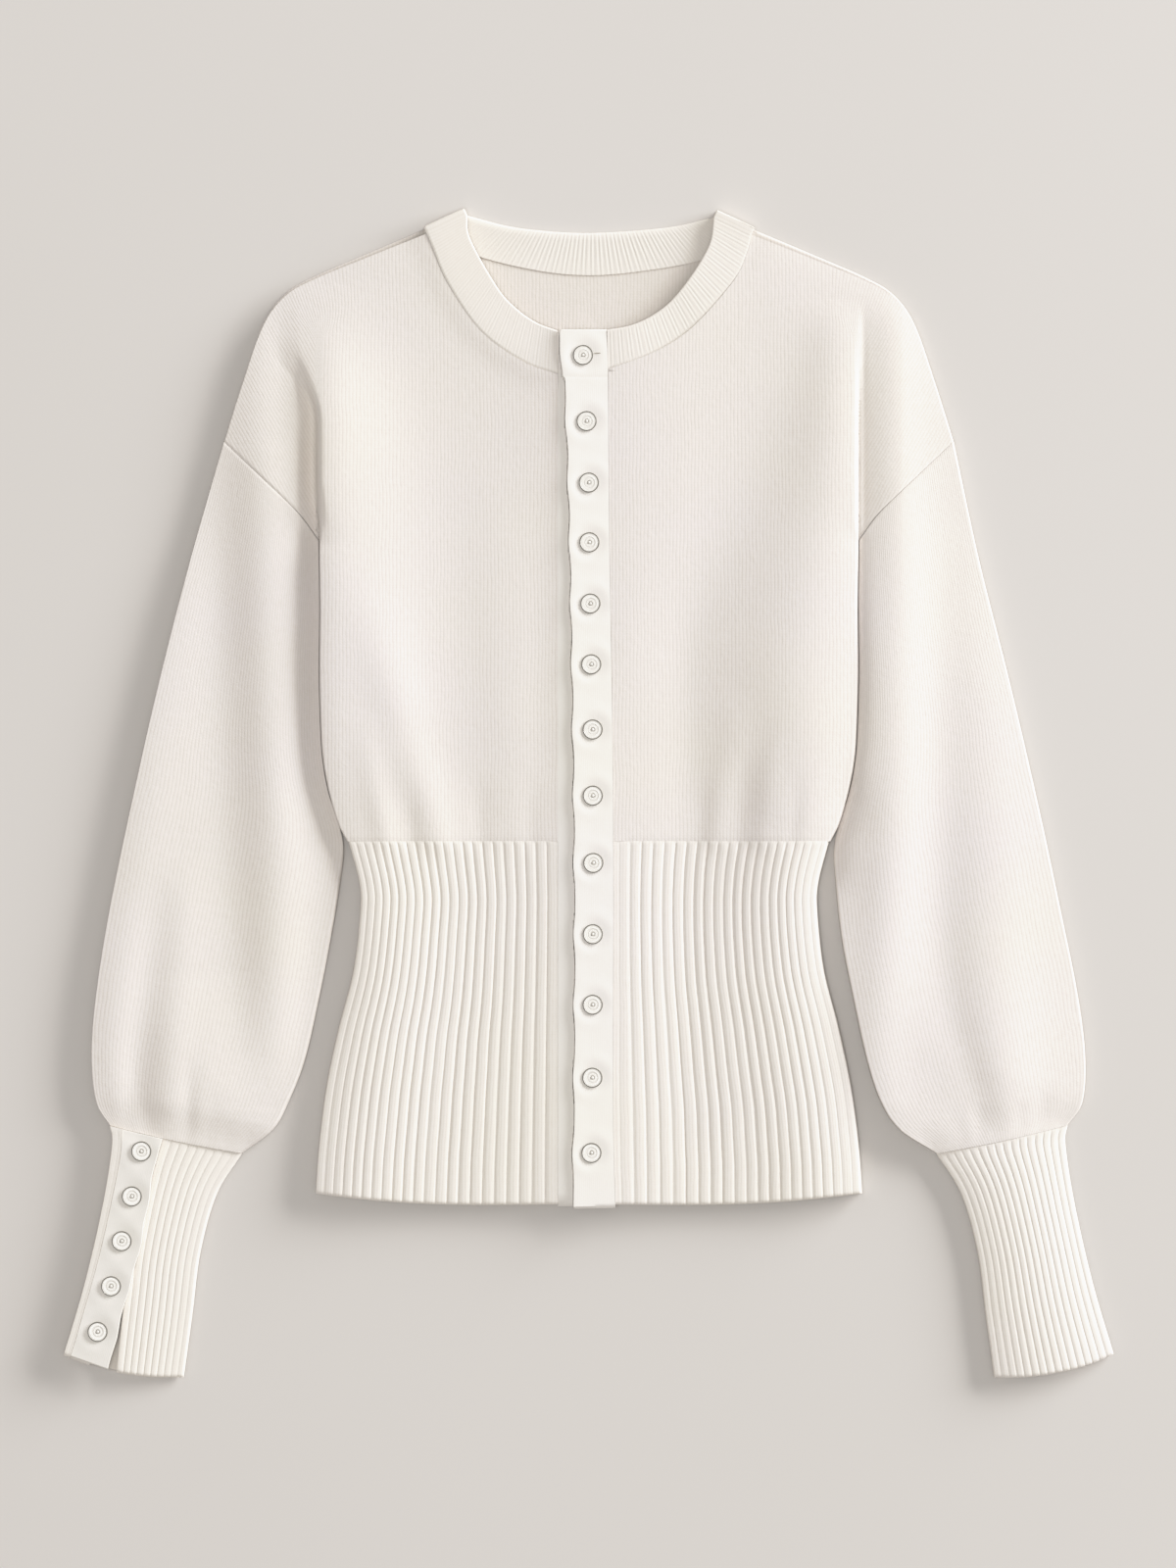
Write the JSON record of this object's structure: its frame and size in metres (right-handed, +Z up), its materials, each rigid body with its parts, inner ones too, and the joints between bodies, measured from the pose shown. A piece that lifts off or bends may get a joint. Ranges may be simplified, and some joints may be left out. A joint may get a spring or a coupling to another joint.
{
  "type": "button cardigan",
  "caption": "Ivory knit button cardigan laid out flat: ribbed crew neck, drop shoulders, balloon sleeves, long ribbed cuffs and a long flared waist rib.",
  "frame": {"origin": "the middle of the laid garment's box, on the surface that its back rests on", "axes": "+Z up from the surface towards the buttons, +Y from the hem towards the neck, +X towards the wearer's left sleeve"},
  "size_m": [0.6112, 0.68, 0.014],
  "materials": {
    "knit": "fine plain knit, matt, faint fuzz",
    "rib": "ribbed knit, matt",
    "band": "dense smooth double knit, matt",
    "button": "pearly dished face in a thin grey metallic rim"
  },
  "bodies": {
    "root": {"back": "knit", "front_right": "knit", "front_left": "knit", "sleeve_right": "knit", "sleeve_left": "knit", "waist_rib_back": "rib", "waist_rib_front_right": "rib", "waist_rib_front_left": "rib", "cuff_right": "rib", "cuff_left": "rib", "neckband": "rib", "under_band": "band", "button_band": "band", "cuff_band": "band", "front_button_01": "button", "front_button_02": "button", "front_button_03": "button", "front_button_04": "button", "front_button_05": "button", "front_button_06": "button", "front_button_07": "button", "front_button_08": "button", "front_button_09": "button", "front_button_10": "button", "front_button_11": "button", "front_button_12": "button", "front_button_13": "button", "cuff_button_1": "button", "cuff_button_2": "button", "cuff_button_3": "button", "cuff_button_4": "button", "cuff_button_5": "button"}
  },
  "joints": []
}
